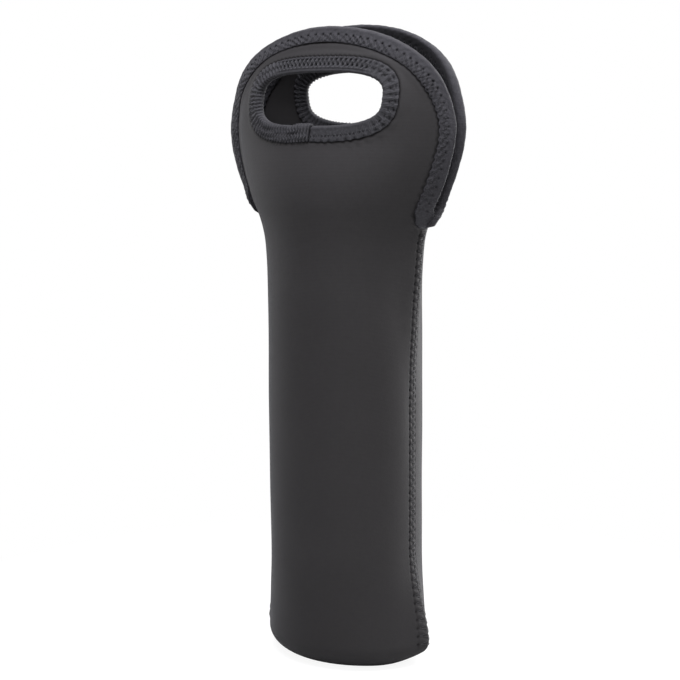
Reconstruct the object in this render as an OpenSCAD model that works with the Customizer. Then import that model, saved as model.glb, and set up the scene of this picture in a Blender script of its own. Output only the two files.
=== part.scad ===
/* [Pocket] */
// Diameter of the round load that the pocket is cut for
pocket_d = 76; // [68:1:84]
// Height of the side seams, from the floor to where the two heads part
seam_h = 238; // [200:1:270]
// Height over which the oval foot grows into the round pocket
foot_h = 57; // [40:1:90]
// Height below the seam tops at which the round pocket starts to flatten
shoulder_h = 38; // [14:1:40]
/* [Sheet] */
// Thickness of the neoprene sheet
sheet_t = 4; // [3:0.25:5]
/* [Foot] */
// Radius with which the front and back sheets turn under
heel_r = 13.5; // [10:0.5:18]
// Radius of that turn at the side seams
corner_r = 7; // [6:0.5:12]
// How far the base rises from the floor towards the side seams
corner_rise = 6; // [0:0.5:8]
// Half angle that each sheet wraps at the floor, in degrees
foot_angle = 66.5; // [60:0.5:80]
/* [Head] */
// Widest flat width of the neoprene of a head
head_w = 151; // [136:0.5:182]
// Height of a head above the seam tops
head_h = 104; // [90:1:124]
// Height of its widest level above the seam tops
belly_h = 51; // [38:0.5:58]
// How much higher the back head stands than the front one
back_rise = 2.5; // [0:0.5:4]
// Half angle that a sheet wraps at the seam tops, in degrees
mouth_angle = 79.5; // [70:0.5:84]
// Height above the seam tops at which the heads have sprung open
spring_h = 16; // [12:1:24]
// Half angle that a head wraps at that height, in degrees
spring_angle = 70; // [60:0.5:76]
// Half angle that a head wraps at its widest level, in degrees
belly_angle = 47; // [40:0.5:54]
// Half angle that a head wraps at the middle of the hand hole, in degrees
hole_angle = 49; // [40:0.5:54]
// Half angle that a head wraps at its top, in degrees
crown_angle = 28.5; // [24:0.5:36]
// Distance between the middles of the two side edges at the widest level
edge_gap = 7; // [6:0.2:10]
// How far the top of a head leans in past its side edges
crown_lean = 6.6; // [4:0.2:11]
// How far a head's side edges curl outwards at the height where the heads have sprung open
curl_out = 4.8; // [0:0.2:6]
// Width of the strip along those edges that curls
curl_w = 20; // [14:1:30]
/* [Hand hole] */
// Width of the hand hole cut in the neoprene
hole_w = 80.5; // [68:0.5:88]
// Height of the hand hole cut in the neoprene
hole_h = 30.5; // [26:0.5:38]
// Depth of the hole's middle below the top of the head
hole_drop = 36.5; // [30:0.5:40]
// Roundness of the hole: 2 is an ellipse, more is squarer
hole_power = 3; // [2:0.1:4]
/* [Binding] */
// Thickness of the binding tape
tape_t = 1; // [0.8:0.1:1.4]
// Width of the tape lapped on each side of a head's edge
tape_lap = 8.5; // [6:0.5:9]
// Width of the tape lapped on each side of the hand hole's edge
grip_lap = 7; // [5:0.5:8]
// How far the folded tape stands out past the cut edge
tape_fold = 1.6; // [1.4:0.1:2.2]
// Share of its thickness that the sheet keeps at an edge nipped by the tape
nip_share = 0.6; // [0.5:0.05:0.9]
/* [Hidden] */

neoprene = "#3b3b3e";
tape = "#444448";

// Gap between butted edges, between tape and sheet, and at the fold line
butt_gap = 0.1;
base_gap = 0.3;
lay_gap = 0.4;
fold_gap = 0.4;
// Half distance between the edges where the seams end
mouth_half_gap = 1.9;
// Height over which the edges part above the seams, and that over which changes are eased
part_h = 20;
// Share of the way from the widest level to the hand hole at which a head starts to lean in
lean_share = 0.4;
// Shares of the outward curl just above the seam tops, where it is full, at the widest level and at the hand hole
curl_shares = [0.4, 1, 0.45, 0.36];
curl_start_h = 7;
ease_h = 9;
ease_steps = 3;

// Counts of facets along and across each sheet
arc_n = 26;
row_n = 15;
curl_n = 6;
rim_n = 44;
fold_n = 16;
grip_n = 52;
bend_n = 4;

pocket_r = pocket_d / 2;
middle_r = pocket_r + sheet_t / 2;
sleeve_half = PI / 2 * middle_r;
head_half = head_w / 2;
belly_z = seam_h + belly_h;
top_z = seam_h + head_h;
fold_z = seam_h + fold_gap;
hole_z = top_z - hole_drop;
flare_w = head_half - sleeve_half;
flare_r = (flare_w * flare_w + belly_h * belly_h) / (2 * flare_w);
front = 1;
back = -1;

function degrees(radians) = radians * 180 / PI;
function radians(degrees) = degrees * PI / 180;
function mix(a, b, t) = a + (b - a) * t;
function total(list, i = 0) = i < len(list) ? list[i] + total(list, i + 1) : 0;

// Flat half width of a sheet: straight along the seam, then flared out to the widest level
function flat_half(z) =
    z <= seam_h ? sleeve_half :
    z >= belly_z ? head_half :
    head_half - flare_r + sqrt(flare_r * flare_r - (belly_z - z) * (belly_z - z));

angle_table = [
    [0, foot_angle], [foot_h, 90], [seam_h - shoulder_h, 90],
    [seam_h, mouth_angle], [seam_h + spring_h, spring_angle],
    [belly_z, belly_angle], [hole_z, hole_angle], [top_z, crown_angle]
];
gap_table = [
    [seam_h - part_h, 0], [seam_h, mouth_half_gap], [seam_h + part_h, edge_gap / 2],
    [mix(belly_z, hole_z, lean_share), edge_gap / 2], [top_z, edge_gap / 2 - crown_lean]
];
curl_table = [
    [seam_h, 0], [seam_h + curl_start_h, curl_out * curl_shares[0]],
    [seam_h + spring_h, curl_out * curl_shares[1]], [belly_z, curl_out * curl_shares[2]],
    [hole_z, curl_out * curl_shares[3]], [top_z, 0]
];
eased_heights = [for (k = [-ease_steps:ease_steps]) ease_h * k / ease_steps];
function eased_lookup(z, table) =
    total([for (dz = eased_heights) lookup(z + dz, table)]) / len(eased_heights);

// Each section of a sheet is an arc: its half angle, radius and centre behind the mid plane
function half_angle(z) = eased_lookup(z, angle_table);
function arc_r(z) =
    total([for (dz = eased_heights) flat_half(z + dz)]) / len(eased_heights) / radians(half_angle(z));
function arc_y(z) = arc_r(z) * cos(half_angle(z)) - eased_lookup(z, gap_table);

// The side edges of a head curl outwards from that arc, and lie straight under the tape
function curl_share(d) =
    d < tape_lap ? mix(1, curl_share(tape_lap), d / tape_lap) : pow(max(0, 1 - d / curl_w), 2);
function curl(s, z) =
    total([for (dz = eased_heights) lookup(z + dz / 3, curl_table)]) / len(eased_heights) *
    curl_share(flat_half(z) - abs(s));

// Point on a head at flat place s and height z, stood off its middle surface
function sheet_point(s, z, off = 0) =
    let (r = arc_r(z), a = degrees(s / r), out = r + off + curl(s, z))
    [out * sin(a), arc_y(z) - out * cos(a), z];

// Point of a panel at share u of its wrap, from -1 at the left seam to 1 at the right one
function panel_point(u, z, off) =
    let (r = arc_r(z) + off, y = arc_y(z), a = u * acos((y + butt_gap / 2) / r))
    [r * sin(a), y - r * cos(a), z];
wrap_shares = [for (i = [0:arc_n]) 2 * i / arc_n - 1];

// The turn under the pocket tightens towards the side seams, and the base rises there
function heel(u) = mix(heel_r, corner_r, pow(abs(u), 6));
function rise(u) = corner_rise * pow(max(0, 2 * abs(u) - 1), 3);
function heel_row(a, depth) = [
    for (u = wrap_shares)
        let (r = heel(u) - depth)
        panel_point(u, rise(u) + heel(u) - r * sin(a), sheet_t / 2 - heel(u) + r * cos(a))
];
function wall_row(k, off) = [
    for (u = wrap_shares) panel_point(u, mix(rise(u) + heel(u), seam_h, k), off)
];

// Solid between two grids of points: rows are open, columns are closed when around is true
module sheet_solid(outer, inner, around = false) {
    rows = len(outer);
    cols = len(outer[0]);
    half = rows * cols;
    steps = around ? cols : cols - 1;
    function at(face, i, j) = face * half + i * cols + j % cols;
    points = [
        for (row = outer) for (p = row) p,
        for (row = inner) for (p = row) p
    ];
    skin = [
        for (i = [0:rows - 2]) for (j = [0:steps - 1]) each [
            [at(0, i, j), at(0, i + 1, j), at(0, i + 1, j + 1)],
            [at(0, i, j), at(0, i + 1, j + 1), at(0, i, j + 1)],
            [at(1, i, j), at(1, i + 1, j + 1), at(1, i + 1, j)],
            [at(1, i, j), at(1, i, j + 1), at(1, i + 1, j + 1)]
        ]
    ];
    rims = [
        for (j = [0:steps - 1]) each [
            [at(0, 0, j), at(0, 0, j + 1), at(1, 0, j + 1)],
            [at(0, 0, j), at(1, 0, j + 1), at(1, 0, j)],
            [at(0, rows - 1, j), at(1, rows - 1, j + 1), at(0, rows - 1, j + 1)],
            [at(0, rows - 1, j), at(1, rows - 1, j), at(1, rows - 1, j + 1)]
        ]
    ];
    sides = around ? [] : [
        for (i = [0:rows - 2]) each [
            [at(0, i, 0), at(1, i, 0), at(1, i + 1, 0)],
            [at(0, i, 0), at(1, i + 1, 0), at(0, i + 1, 0)],
            [at(0, i, cols - 1), at(1, i + 1, cols - 1), at(1, i, cols - 1)],
            [at(0, i, cols - 1), at(0, i + 1, cols - 1), at(1, i + 1, cols - 1)]
        ]
    ];
    polyhedron(points, concat(skin, rims, sides));
}

// Tube of closed sections swept along stations, open with two ends or closed on itself.
// A quad is split along the same diagonal as the sheet that it lies on.
module tape_solid(sections, side, closed = false) {
    count = len(sections);
    around = len(sections[0]);
    steps = closed ? count : count - 1;
    function at(i, j) = (i % count) * around + j % around;
    skin = [
        for (i = [0:steps - 1]) for (j = [0:around - 1])
            let (a = at(i, j), b = at(i, j + 1), c = at(i + 1, j + 1), d = at(i + 1, j))
            each (j % (around / 2) < around / 4 - 1 ? [[a, b, d], [b, c, d]] : [[a, b, c], [a, c, d]])
    ];
    // An end is a U of outside points and as many inside points, capped in strips
    function cap(i, flip) = [
        for (j = [0:around / 2 - 2])
            let (a = at(i, j), b = at(i, j + 1), c = at(i, around - 2 - j), d = at(i, around - 1 - j))
            each (flip ? [[a, b, c], [a, c, d]] : [[a, c, b], [a, d, c]])
    ];
    faces = concat(skin, closed ? [] : concat(cap(0, false), cap(count - 1, true)));
    polyhedron(
        [for (section = sections) for (p = section) p],
        side == front ? faces : [for (f = faces) [f.z, f.y, f.x]]
    );
}

// The back pieces are the front ones mirrored, with the head stretched to its own height
function placed(p, side) =
    side == front ? p :
    [p.x, -p.y, p.z <= fold_z ? p.z : fold_z + (p.z - fold_z) * (1 + back_rise / head_h)];
function placed_rows(rows, side) = [for (row = rows) [for (p = row) placed(p, side)]];

// Half of the pocket: the turn from under the foot, then the wall up to the fold line
module panel(side) {
    turns = [for (k = [0:curl_n]) 90 - 90 * k / curl_n];
    levels = [for (k = [1:row_n]) k / row_n];
    function skin(depth) = placed_rows(concat(
        [for (a = turns) heel_row(a, depth)],
        [for (k = levels) wall_row(k, sheet_t / 2 - depth)]
    ), side);
    color(neoprene)
        if (side == front) sheet_solid(skin(0), skin(sheet_t));
        else sheet_solid(skin(sheet_t), skin(0));
}

module base_panel() {
    edge = [for (u = wrap_shares) panel_point(u, rise(u), sheet_t / 2 - heel(u) - base_gap)];
    function face(h) = [for (way = [1, 0, -1]) [for (p = edge) [p.x, p.y * way, p.z + h]]];
    color(neoprene) sheet_solid(face(sheet_t), face(0));
}

// Cut edge of a head, flat, from the right seam top over the crown to the left one
function rim_point(t) =
    t < 0 ? let (p = rim_point(-t)) [-p.x, p.y] :
    let (
        low = asin((belly_h - fold_gap) / flare_r),
        low_length = radians(low) * flare_r,
        high_length = PI / 4 * (head_half + top_z - belly_z),
        share = low_length / (low_length + high_length)
    )
    t > 1 - share ?
        let (a = low * (t - 1 + share) / share)
        [head_half - flare_r + flare_r * cos(a), belly_z - flare_r * sin(a)] :
        let (a = 90 * (1 - t / (1 - share)))
        [head_half * cos(a), belly_z + (top_z - belly_z) * sin(a)];

// Flat direction in from that edge, level beside the fold line
function unit(v) = v / norm(v);
function rim_in(t) =
    let (
        nudge = 0.001,
        along = rim_point(t - nudge) - rim_point(t + nudge),
        level = max(0, 1 - (rim_point(t).y - fold_z) / tape_lap)
    )
    unit(mix(unit([-along.y, along.x]), [-sign(t), 0], level));

// Edge of the hand hole at angle a about its middle, and the flat direction out from it
function hole_r(a) =
    pow(
        pow(abs(cos(a)) * 2 / hole_w, hole_power) + pow(abs(sin(a)) * 2 / hole_h, hole_power),
        -1 / hole_power
    );
function hole_point(a) = [hole_r(a) * cos(a), hole_z + hole_r(a) * sin(a)];
function hole_out(a) =
    let (nudge = 0.1, along = hole_point(a + nudge) - hole_point(a - nudge))
    unit([along.y, -along.x]);

// Neoprene of a head: rings that grow from the hand hole to the cut edge and the fold line
module handle(side) {
    ts = [for (k = [0:rim_n]) 1 - 2 * k / rim_n];
    low = rim_point(1);
    fold = [for (k = [1:fold_n - 1]) [mix(-low.x, low.x, k / fold_n), low.y]];
    edge = concat([for (t = ts) rim_point(t)], fold);
    lapped = concat(
        [for (t = ts) rim_point(t) + tape_lap * rim_in(t)],
        [for (p = fold) [p.x * (1 - tape_lap / low.x), p.y + tape_lap]]
    );
    turns = [for (p = edge) atan2(p.y - hole_z, p.x)];
    hole = [for (a = turns) hole_point(a)];
    gripped = [for (a = turns) hole_point(a) + grip_lap * hole_out(a)];
    middle = (gripped + lapped) / 2;
    half_lapped = (edge + lapped) / 2;
    full = sheet_t / 2;
    function ring(flat, off) = [for (p = flat) sheet_point(p.x, p.y, off)];
    function bound_ring(flat, off, share) = [
        for (j = [0:len(flat) - 1]) sheet_point(flat[j].x, flat[j].y, off * (j <= rim_n ? share : 1))
    ];
    function face(way) = placed_rows([
        ring(hole, way * full * nip_share),
        ring(gripped, way * full), ring(middle, way * full), ring(lapped, way * full),
        bound_ring(half_lapped, way * full, (1 + nip_share) / 2),
        bound_ring(edge, way * full, nip_share)
    ], side);
    color(neoprene)
        if (side == front) sheet_solid(face(-1), face(1), true);
        else sheet_solid(face(1), face(-1), true);
}

// Folded tape at one place on an edge: flat point p, flat direction in from the edge, lap width
function tape_section(p, in, lap) =
    let (
        full = sheet_t / 2 + lay_gap,
        nip = sheet_t / 2 * nip_share + lay_gap,
        hollow = tape_fold - tape_t,
        bends = [for (k = [1:bend_n - 1]) 90 - 180 * k / bend_n],
        outside = concat(
            [[lap, full + tape_t / 2], [lap / 2, (full + nip) / 2 + tape_t], [0, nip + tape_t]],
            [for (a = bends) [-tape_fold * cos(a), (nip + tape_t) * sin(a)]],
            [[0, -nip - tape_t], [lap / 2, -(full + nip) / 2 - tape_t], [lap, -full - tape_t / 2]]
        ),
        inside = concat(
            [[lap, -full], [lap / 2, -(full + nip) / 2], [0, -nip]],
            [for (a = bends) [-hollow * cos(a), -nip * sin(a)]],
            [[0, nip], [lap / 2, (full + nip) / 2], [lap, full]]
        )
    )
    [for (q = concat(outside, inside)) sheet_point(p.x + in.x * q[0], p.y + in.y * q[0], q[1])];

module edge_binding(side) {
    stations = [for (k = [0:rim_n]) 2 * k / rim_n - 1];
    color(tape)
        tape_solid(placed_rows(
            [for (t = stations) tape_section(rim_point(t), rim_in(t), tape_lap)], side), side);
}

module grip_binding(side) {
    stations = [for (k = [0:grip_n - 1]) 360 * k / grip_n];
    color(tape)
        tape_solid(placed_rows(
            [for (a = stations) tape_section(hole_point(a), hole_out(a), grip_lap)], side), side, true);
}

panel(front);  // front_panel
panel(back);  // back_panel
base_panel();
handle(front);  // front_handle
edge_binding(front);  // front_edge_binding
grip_binding(front);  // front_grip_binding
handle(back);  // back_handle
edge_binding(back);  // back_edge_binding
grip_binding(back);  // back_grip_binding
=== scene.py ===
import math

import bmesh
import bpy
import numpy as np
from mathutils import Matrix, Vector


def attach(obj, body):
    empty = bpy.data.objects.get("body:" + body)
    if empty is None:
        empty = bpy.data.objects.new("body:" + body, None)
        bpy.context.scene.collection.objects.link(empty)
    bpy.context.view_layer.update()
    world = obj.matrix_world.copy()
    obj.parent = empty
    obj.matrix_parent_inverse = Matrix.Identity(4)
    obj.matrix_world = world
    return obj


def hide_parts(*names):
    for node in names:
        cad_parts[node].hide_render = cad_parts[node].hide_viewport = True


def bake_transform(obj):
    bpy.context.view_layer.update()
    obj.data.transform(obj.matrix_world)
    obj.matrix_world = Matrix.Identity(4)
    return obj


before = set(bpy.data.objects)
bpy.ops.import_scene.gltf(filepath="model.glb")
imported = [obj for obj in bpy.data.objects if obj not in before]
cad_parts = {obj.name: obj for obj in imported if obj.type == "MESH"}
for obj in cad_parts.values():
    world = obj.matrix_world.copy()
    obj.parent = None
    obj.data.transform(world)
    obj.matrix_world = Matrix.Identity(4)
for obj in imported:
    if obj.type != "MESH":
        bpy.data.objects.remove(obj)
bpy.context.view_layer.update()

# Sizes in mm and angles in degrees, with the names and values of the part's source
POCKET_D = 76
SEAM_H = 238
FOOT_H = 57
SHOULDER_H = 38
SHEET_T = 4
HEEL_R = 13.5
CORNER_R = 7
CORNER_RISE = 6
FOOT_ANGLE = 66.5
HEAD_W = 151
HEAD_H = 104
BELLY_H = 51
BACK_RISE = 2.5
MOUTH_ANGLE = 79.5
SPRING_H = 16
SPRING_ANGLE = 70
BELLY_ANGLE = 47
HOLE_ANGLE = 49
CROWN_ANGLE = 28.5
EDGE_GAP = 7
CROWN_LEAN = 6.6
CURL_OUT = 4.8
CURL_W = 20
HOLE_W = 80.5
HOLE_H = 30.5
HOLE_DROP = 36.5
HOLE_POWER = 3
TAPE_T = 1
TAPE_LAP = 8.5
GRIP_LAP = 7
TAPE_FOLD = 1.6
NIP_SHARE = 0.6
BUTT_GAP = 0.1
BASE_GAP = 0.3
FOLD_GAP = 0.4
MOUTH_HALF_GAP = 1.9
PART_H = 20
LEAN_SHARE = 0.4

# Worked out from them
HALF_T = SHEET_T / 2
MID_R = POCKET_D / 2 + HALF_T
SLEEVE_HALF = math.pi / 2 * MID_R
HEAD_HALF = HEAD_W / 2
BELLY_Z = SEAM_H + BELLY_H
TOP_Z = SEAM_H + HEAD_H
HOLE_Z = TOP_Z - HOLE_DROP
FOLD_Z = SEAM_H + FOLD_GAP
FLARE_W = HEAD_HALF - SLEEVE_HALF
FLARE_R = (FLARE_W ** 2 + BELLY_H ** 2) / (2 * FLARE_W)
FRONT, BACK = "front", "back"
TURN = 2 * math.pi


def smooth(x):
    """Rises softly from 0 to 1 as x does"""
    x = np.clip(x, 0, 1)
    return x * x * (3 - 2 * x)


def window(x, start, rise_w, end, fall_w):
    """Rises from 0 at start over rise_w, and falls back to 0 at end over fall_w"""
    return smooth((x - start) / rise_w) * smooth((end - x) / fall_w)


def bell(x, width):
    return np.exp(-(x / width) ** 2)


# The sewn form: a height and the half angle that the sheet wraps there
WRAP = [(0, FOOT_ANGLE), (FOOT_H, 90), (SEAM_H - SHOULDER_H, 90), (SEAM_H, MOUTH_ANGLE),
        (SEAM_H + SPRING_H, SPRING_ANGLE), (BELLY_Z, BELLY_ANGLE), (HOLE_Z, HOLE_ANGLE), (TOP_Z, CROWN_ANGLE)]
# A height and half the gap between the middles of the side edges
GAP = [(SEAM_H - PART_H, 0), (SEAM_H, MOUTH_HALF_GAP), (SEAM_H + PART_H, EDGE_GAP / 2),
       (BELLY_Z + LEAN_SHARE * (HOLE_Z - BELLY_Z), EDGE_GAP / 2), (TOP_Z, EDGE_GAP / 2 - CROWN_LEAN)]
# Height above the seam tops, and the share of CURL_OUT there. The curl starts late at the left, sooner
# at the front's right end and soonest at the back's.
CURL_HIGH = [(SPRING_H, 1), (BELLY_H, 0.45), (HOLE_Z - SEAM_H, 0.36), (HEAD_H, 0)]
CURL_LEFT = [(0, 0), (8, 0.08), (12, 0.66)] + CURL_HIGH
CURL_RIGHT = {FRONT: [(0, 0.36), (5, 0.46), (11, 0.52), (16, 0.76), (22, 0.93)] + CURL_HIGH[1:],
              BACK: [(0, 0.55), (4, 0.9), (9, 0.97)] + CURL_HIGH}
CURL_START = 1.6
# How deep a head dips beside its left edge before that curls, how far from the edge, and how wide
DIP, DIP_AT, DIP_W = 1.1, 9.5, 5.5
# Height, and how far the side seams stand out in a ridge there; then height and the ridge's width
RIDGE = [(2, 0.3), (8, 1.2), (15, 2.3), (23, 2.2), (34, 1.3), (48, 0.5), (66, 0), (140, 0), (160, 0.4),
         (173, 1.0), (187, 2.0), (198, 2.7), (209, 2.8), (220, 2.3), (232, 1.9), (242, 1.8), (256, 0)]
RIDGE_W = ([66, 140], [6.5, 8.5])
# Height over which a head goes over into the sleeve's sections
NEAR_FOLD = 12.0
# How sharply the heel's radius and the rise of the foot change towards the side seams
HEEL_POWER, RISE_POWER = 6, 3
# Steps over which a table is averaged, to round its corners
EASE = np.linspace(-9, 9, 19)


def flat_half(z):
    """Half the width of the flat cut sheet"""
    arc = HEAD_HALF - FLARE_R + np.sqrt(np.maximum(FLARE_R ** 2 - (BELLY_Z - z) ** 2, 0))
    return np.where(z <= SEAM_H, SLEEVE_HALF, np.where(z >= BELLY_Z, HEAD_HALF, arc))


def eased(z, table, width=1.0):
    """The table at z, with its corners rounded"""
    xs, ys = zip(*table)
    return np.mean([np.interp(z + d * width, xs, ys) for d in EASE], axis=0)


def curl_at_levels(table):
    above = LEVELS - SEAM_H
    return CURL_OUT * eased(above, table, 1 / 3) * smooth(above / CURL_START)


# The form at even levels
LEVELS = np.arange(-30, 380, 0.25)
WRAP_AT = np.radians(eased(LEVELS, WRAP))
RHO_AT = np.mean([flat_half(LEVELS + d) for d in EASE], axis=0) / WRAP_AT
MID_Y_AT = RHO_AT * np.cos(WRAP_AT) - eased(LEVELS, GAP)
CURL_LEFT_AT = curl_at_levels(CURL_LEFT)
CURL_RIGHT_AT = {side: curl_at_levels(table) for side, table in CURL_RIGHT.items()}
RIDGE_AT = eased(LEVELS, RIDGE, 0.5)


def rho(z):
    return np.interp(z, LEVELS, RHO_AT)


def mid_y(z):
    return np.interp(z, LEVELS, MID_Y_AT)


def seam_angle(z, off=0.0):
    return np.arccos(np.clip(mid_y(z) / (rho(z) + off), -1, 1))


def sheet_angle(z, off):
    """The angle at which a sheet ends, just short of the seam"""
    return seam_angle(z, off) - BUTT_GAP / 2 / (rho(z) + off)


SEAM_S = float(rho(SEAM_H) * seam_angle(SEAM_H))
EXTRA = SEAM_S - float(flat_half(SEAM_H))
FOLD_STRETCH = 1 + EXTRA / float(flat_half(SEAM_H))


def ridge(z, dist):
    return np.interp(z, LEVELS, RIDGE_AT) * bell(dist, np.interp(z, *RIDGE_W))


def curl(s, z, side):
    """How far a head stands outwards towards its side edges. It does so straight under the tape."""
    d = flat_half(z) - np.abs(s)
    lap_share = (1 - TAPE_LAP / CURL_W) ** 2
    under_tape = 1 + (lap_share - 1) * d / TAPE_LAP
    share = np.where(d < TAPE_LAP, under_tape, np.clip(1 - d / CURL_W, 0, None) ** 2)
    dip = DIP * bell(d - DIP_AT, DIP_W) * window(z, SEAM_H + 8, 14, TOP_Z - 24, 22) * (s < 0)
    out = np.where(s < 0, np.interp(z, LEVELS, CURL_LEFT_AT), np.interp(z, LEVELS, CURL_RIGHT_AT[side]))
    return out * share - dip + ridge(z, d)


def placed(x, y, z, side):
    """A point of the front, or of the back: mirrored, and its head a little taller"""
    if side == BACK:
        y = -y
        z = np.where(z <= FOLD_Z, z, FOLD_Z + (z - FOLD_Z) * (1 + BACK_RISE / HEAD_H))
    return np.stack([x, y, z], -1)


def on_arc(angle, z, off, side):
    r, y = rho(z), mid_y(z)
    return placed((r + off) * np.sin(angle), y - (r + off) * np.cos(angle), z + 0 * angle, side)


def sleeve_point(u, z, off, side):
    """u is the share of the wrap, from -1 at the left seam to 1 at the right one"""
    off = off + ridge(z, (1 - np.abs(u)) * SLEEVE_HALF)
    return on_arc(u * sheet_angle(z, off), z, off, side)


def head_point(s, z, off, side):
    """s is the flat distance from the middle. Near the fold it carries on the sleeve's sections."""
    near = 1 - smooth((z - SEAM_H) / NEAR_FOLD)
    stretch = 1 + near * EXTRA / flat_half(z)
    full = off + curl(s, z, side)
    mitre = 1 + near * (sheet_angle(z, full) / seam_angle(z) - 1)
    return on_arc(s * stretch / rho(z) * mitre, z, full, side)


def nipped(share):
    """Half the thickness of a head's sheet, which is nipped at a bound edge, where share is 0"""
    return HALF_T * (NIP_SHARE + (1 - NIP_SHARE) * share)


def heel(u):
    """Radius with which the sheet turns under"""
    return HEEL_R + (CORNER_R - HEEL_R) * np.abs(u) ** HEEL_POWER


def rise(u):
    """Height of the foot's lower edge over the floor"""
    return CORNER_RISE * np.clip(2 * np.abs(u) - 1, 0, None) ** RISE_POWER


# Flat curves
def run_along(p):
    """Length along a row of points up to each of them"""
    return np.concatenate([[0], np.cumsum(np.linalg.norm(np.diff(p, axis=0), axis=1))])


def spaced(points, count, closed):
    """The same flat curve with points at even distances, and its length"""
    p = np.vstack([points, points[:1]]) if closed else points
    run = run_along(p)
    at = np.linspace(0, run[-1], count + (1 if closed else 0))
    return np.stack([np.interp(at, run, p[:, k]) for k in (0, 1)], 1), run[-1]


def rim_curve():
    """The bound edge of a head, from its right end over the crown to its left end"""
    low = math.asin((BELLY_H - FOLD_GAP) / FLARE_R)
    a = np.linspace(low, 0, 200)
    flare = np.stack([HEAD_HALF - FLARE_R + FLARE_R * np.cos(a), BELLY_Z - FLARE_R * np.sin(a)], 1)
    b = np.linspace(0, math.pi / 2, 500)
    crown = np.stack([HEAD_HALF * np.cos(b), BELLY_Z + (TOP_Z - BELLY_Z) * np.sin(b)], 1)
    right = np.vstack([flare, crown[1:]])
    return np.vstack([right, (right[::-1] * [-1, 1])[1:]])


def hole_reach(a):
    """Distance of the hand hole's edge from its middle, at angle a"""
    return ((np.abs(np.cos(a)) * 2 / HOLE_W) ** HOLE_POWER
            + (np.abs(np.sin(a)) * 2 / HOLE_H) ** HOLE_POWER) ** (-1 / HOLE_POWER)


def hole_curve():
    a = np.linspace(0, TURN, 1440, endpoint=False)
    r = hole_reach(a)
    return np.stack([r * np.cos(a), HOLE_Z + r * np.sin(a)], 1)


class Edge:
    """A bound edge of a head: flat points at even distances, and the flat direction into the sheet"""

    def __init__(self, points, count, closed, inward):
        self.closed = closed
        self.p, self.length = spaced(points, count, closed)
        if closed:
            along = np.roll(self.p[:-1], -1, 0) - np.roll(self.p[:-1], 1, 0)
            along = np.vstack([along, along[:1]])
        else:
            along = np.gradient(self.p, axis=0)
        n = np.stack([-along[:, 1], along[:, 0]], 1) * inward
        self.n = n / np.linalg.norm(n, axis=1)[:, None]
        self.at = np.linspace(0, self.length, len(self.p))

    def level_near_fold(self):
        """Near the fold the tape lies level, so that its end is square to the seam"""
        share = np.clip(1 - (self.p[:, 1] - FOLD_Z) / TAPE_LAP, 0, 1)[:, None]
        level = np.stack([-np.sign(self.p[:, 0]), 0 * self.p[:, 0]], 1)
        self.n = self.n * (1 - share) + level * share
        self.n /= np.linalg.norm(self.n, axis=1)[:, None]

    def where(self, t):
        t = np.mod(t, self.length) if self.closed else np.clip(t, 0, self.length)
        p = np.stack([np.interp(t, self.at, self.p[:, k]) for k in (0, 1)], -1)
        n = np.stack([np.interp(t, self.at, self.n[:, k]) for k in (0, 1)], -1)
        return p, n / np.linalg.norm(n, axis=-1, keepdims=True)

    def nearest(self, flat, chunk=50):
        """Distance of flat points from this edge, and where along it they are"""
        pts = flat.reshape(-1, 2)
        dist, at = np.full(len(pts), np.inf), np.zeros(len(pts))
        for a in range(0, len(self.p), chunk):
            q = self.p[a:a + chunk]
            away = np.sqrt(((pts[:, None] - q[None]) ** 2).sum(2))
            k = away.argmin(1)
            closer = away[np.arange(len(pts)), k] < dist
            dist[closer] = away[closer, k[closer]]
            at[closer] = self.at[a + k[closer]]
        return dist.reshape(flat.shape[:-1]), at.reshape(flat.shape[:-1])


RIM = Edge(rim_curve(), 1400, False, 1)
RIM.level_near_fold()
HOLE = Edge(hole_curve(), 1400, True, -1)


# Meshes
def linked(name, data):
    obj = bpy.data.objects.new(name, data)
    bpy.context.scene.collection.objects.link(obj)
    return obj


def make(name, verts, faces, uv, painted_shade=None):
    """verts in mm; the last argument is how much painted shade darkens each vertex, from 0 to 1, as in a
    needle hole
    """
    mesh = bpy.data.meshes.new(name)
    mesh.from_pydata((verts / 1000).tolist(), [], [list(map(int, f)) for f in faces])
    layer = mesh.uv_layers.new(name="flat")
    loops = np.empty(len(mesh.loops), int)
    mesh.loops.foreach_get("vertex_index", loops)
    layer.data.foreach_set("uv", uv[loops].ravel())
    layer = mesh.attributes.new("painted_shade", "FLOAT", "POINT")
    layer.data.foreach_set("value", np.zeros(len(verts)) if painted_shade is None else np.clip(painted_shade, 0, 1))
    mesh.polygons.foreach_set("use_smooth", np.ones(len(mesh.polygons), bool))
    mesh.update()
    return linked(name, mesh)


def face_out(obj):
    """The faces of a closed piece face out"""
    bm = bmesh.new()
    bm.from_mesh(obj.data)
    bmesh.ops.recalc_face_normals(bm, faces=bm.faces)
    bm.to_mesh(obj.data)
    bm.free()
    obj.data.update()
    return obj


def grid_faces(rows, cols, start=0, closed=False):
    """Quads of a grid of vertices. If closed, its last column joins its first"""
    i, j = np.meshgrid(np.arange(rows - 1), np.arange(cols if closed else cols - 1), indexing="ij")
    a = start + i * cols + j
    b = start + i * cols + (j + 1) % cols
    return np.stack([a, b, b + cols, a + cols], -1).reshape(-1, 4)


def strip(a, b):
    """Quads between two equal rows of vertex numbers"""
    return np.stack([a[:-1], a[1:], b[1:], b[:-1]], -1)


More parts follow.
